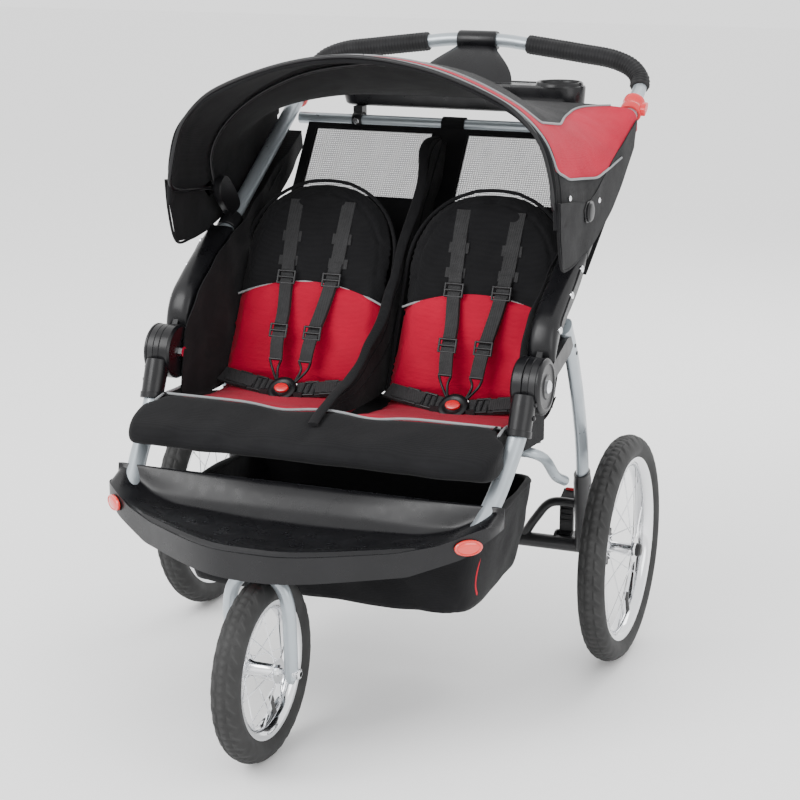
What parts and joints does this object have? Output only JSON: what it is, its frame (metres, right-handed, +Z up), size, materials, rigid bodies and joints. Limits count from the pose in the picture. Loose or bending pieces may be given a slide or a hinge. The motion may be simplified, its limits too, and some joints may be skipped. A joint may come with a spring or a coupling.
{
  "type": "double jogging stroller",
  "caption": "Side-by-side double jogging stroller with a folding tube frame, spoked wheels, a swivel front fork, padded seats, canopy, foot tray, parent tray and basket.",
  "frame": {"origin": "on the floor under the centre of the bounding box", "axes": "+Z up, -Y forwards to the front wheel, +X across; the wheels' axles run along X"},
  "size_m": [0.862, 1.145, 1.069],
  "materials": {
    "silver_paint": "satin silver powder coat",
    "black_plastic": "moulded, satin",
    "black_steel": "semi-gloss black paint",
    "chrome": "bright plated",
    "tyre_rubber": "matt rubber with tread",
    "grip_foam": "matt foam",
    "red_plastic": "glossy",
    "black_fabric": "woven polyester",
    "red_fabric": "woven polyester with black and grey panels",
    "mesh_fabric": "open knitted mesh"
  },
  "bodies": {
    "front_frame": {"front_tube_right": "silver_paint", "front_tube_left": "silver_paint", "fork_housing": "black_plastic", "seat_cross_tube": "silver_paint", "foot_tray": "black_plastic", "tray_reflector_right": "red_plastic", "tray_reflector_left": "red_plastic", "hinge_casting_right": "black_plastic", "hinge_casting_left": "black_plastic", "fold_bolt_right": "chrome", "fold_bolt_left": "chrome", "seat_pan": "black_plastic", "seat_cushion": "red_fabric", "seat_divider": "black_fabric", "harness_right": "black_fabric", "harness_left": "black_fabric", "buckle_right": "black_plastic", "buckle_left": "black_plastic", "basket": "black_fabric"},
    "front_fork": {"fork": "silver_paint", "front_axle": "chrome"},
    "front_wheel_body": {"front_tyre": "tyre_rubber", "front_wheel": "chrome"},
    "swivel_lock": {"swivel_lock_knob": "red_plastic"},
    "handle_frame": {"side_tube_right": "silver_paint", "side_tube_left": "silver_paint", "handlebar": "silver_paint", "grip_right": "grip_foam", "grip_left": "grip_foam", "cross_bar": "silver_paint", "hinge_arm_right": "black_plastic", "hinge_arm_left": "black_plastic", "parent_console": "black_plastic", "console_clamp_right": "black_plastic", "console_clamp_left": "black_plastic", "canopy_mount_right": "black_plastic", "canopy_mount_left": "black_plastic", "canopy_rear_panel": "black_fabric", "side_wing_right": "black_fabric", "side_wing_left": "black_fabric", "back_panel": "mesh_fabric"},
    "canopy_mid": {"canopy_mid_bow": "black_plastic", "canopy_front_panel": "black_fabric"},
    "canopy_front": {"canopy_front_bow": "black_plastic"},
    "rear_frame": {"rear_leg_right": "silver_paint", "rear_leg_left": "silver_paint", "axle_beam": "black_steel", "leg_link_bar": "silver_paint"},
    "rear_wheel_body_right": {"rear_tyre_right": "tyre_rubber", "rear_wheel_right": "chrome"},
    "backrest_body_right": {"backrest_right": "red_fabric"},
    "button_body_right": {"buckle_button_right": "red_plastic"},
    "latch_body_right": {"fold_latch_right": "red_plastic"},
    "brake_body_right": {"brake_lever_right": "red_plastic"},
    "rear_wheel_body_left": {"rear_tyre_left": "tyre_rubber", "rear_wheel_left": "chrome"},
    "backrest_body_left": {"backrest_left": "red_fabric"},
    "button_body_left": {"buckle_button_left": "red_plastic"},
    "latch_body_left": {"fold_latch_left": "red_plastic"},
    "brake_body_left": {"brake_lever_left": "red_plastic"}
  },
  "joints": [
    {"name": "handle_fold", "type": "hinge", "parent": "front_frame", "child": "handle_frame", "pos_m": [0, -0.095, 0.556], "axis": [1, 0, 0], "range_deg": [0, 110], "deforming": ["side_wing_right", "side_wing_left", "back_panel", "seat_divider", "basket"]},
    {"name": "rear_fold", "type": "hinge", "parent": "front_frame", "child": "rear_frame", "pos_m": [0, -0.095, 0.556], "axis": [1, 0, 0], "range_deg": [-54, 0]},
    {"name": "canopy_mid_fold", "type": "hinge", "parent": "handle_frame", "child": "canopy_mid", "pos_m": [0, 0.112, 0.805], "axis": [1, 0, 0], "range_deg": [-38, 0], "deforming": ["canopy_rear_panel", "canopy_front_panel"]},
    {"name": "canopy_front_fold", "type": "hinge", "parent": "canopy_mid", "child": "canopy_front", "pos_m": [0, 0.112, 0.805], "axis": [1, 0, 0], "range_deg": [-37, 0]},
    {"name": "fork_swivel", "type": "hinge", "parent": "front_frame", "child": "front_fork", "pos_m": [0, -0.432, 0.335], "axis": [0, 0, 1], "continuous": true},
    {"name": "front_wheel_spin", "type": "hinge", "parent": "front_fork", "child": "front_wheel_body", "pos_m": [0, -0.424, 0.1485], "axis": [1, 0, 0], "continuous": true},
    {"name": "swivel_lock_pull", "type": "slide", "parent": "front_fork", "child": "swivel_lock", "axis": [0, 0, -1], "range_m": [0, 0.004], "stiffness_N_per_m": 400},
    {"name": "rear_wheel_spin_right", "type": "hinge", "parent": "rear_frame", "child": "rear_wheel_body_right", "pos_m": [0.4, 0.195, 0.2], "axis": [1, 0, 0], "continuous": true},
    {"name": "backrest_recline_right", "type": "hinge", "parent": "front_frame", "child": "backrest_body_right", "pos_m": [0.158, 0.07, 0.486], "axis": [1, 0, 0], "range_deg": [-28, 0], "deforming": ["harness_right"]},
    {"name": "buckle_press_right", "type": "slide", "parent": "front_frame", "child": "button_body_right", "axis": [0, 0.6198, -0.7847], "range_m": [0, 0.003], "stiffness_N_per_m": 500},
    {"name": "latch_slide_right", "type": "slide", "parent": "handle_frame", "child": "latch_body_right", "axis": [0, 0.8404, 0.542], "range_m": [0, 0.012], "stiffness_N_per_m": 400},
    {"name": "brake_press_right", "type": "hinge", "parent": "rear_frame", "child": "brake_body_right", "pos_m": [0.295, 0.215, 0.206], "axis": [1, 0, 0], "range_deg": [-38, 0]},
    {"name": "rear_wheel_spin_left", "type": "hinge", "parent": "rear_frame", "child": "rear_wheel_body_left", "pos_m": [-0.4, 0.195, 0.2], "axis": [1, 0, 0], "continuous": true},
    {"name": "backrest_recline_left", "type": "hinge", "parent": "front_frame", "child": "backrest_body_left", "pos_m": [-0.158, 0.07, 0.486], "axis": [1, 0, 0], "range_deg": [-28, 0], "deforming": ["harness_left"]},
    {"name": "buckle_press_left", "type": "slide", "parent": "front_frame", "child": "button_body_left", "axis": [0, 0.6198, -0.7847], "range_m": [0, 0.003], "stiffness_N_per_m": 500},
    {"name": "latch_slide_left", "type": "slide", "parent": "handle_frame", "child": "latch_body_left", "axis": [0, 0.8404, 0.542], "range_m": [0, 0.012], "stiffness_N_per_m": 400},
    {"name": "brake_press_left", "type": "hinge", "parent": "rear_frame", "child": "brake_body_left", "pos_m": [-0.295, 0.215, 0.206], "axis": [1, 0, 0], "range_deg": [-38, 0]}
  ],
  "couplings": [
    {"joint": "rear_fold", "follows": "handle_fold", "ratio": -0.49},
    {"joint": "canopy_front_fold", "follows": "canopy_mid_fold", "ratio": 0.97}
  ]
}
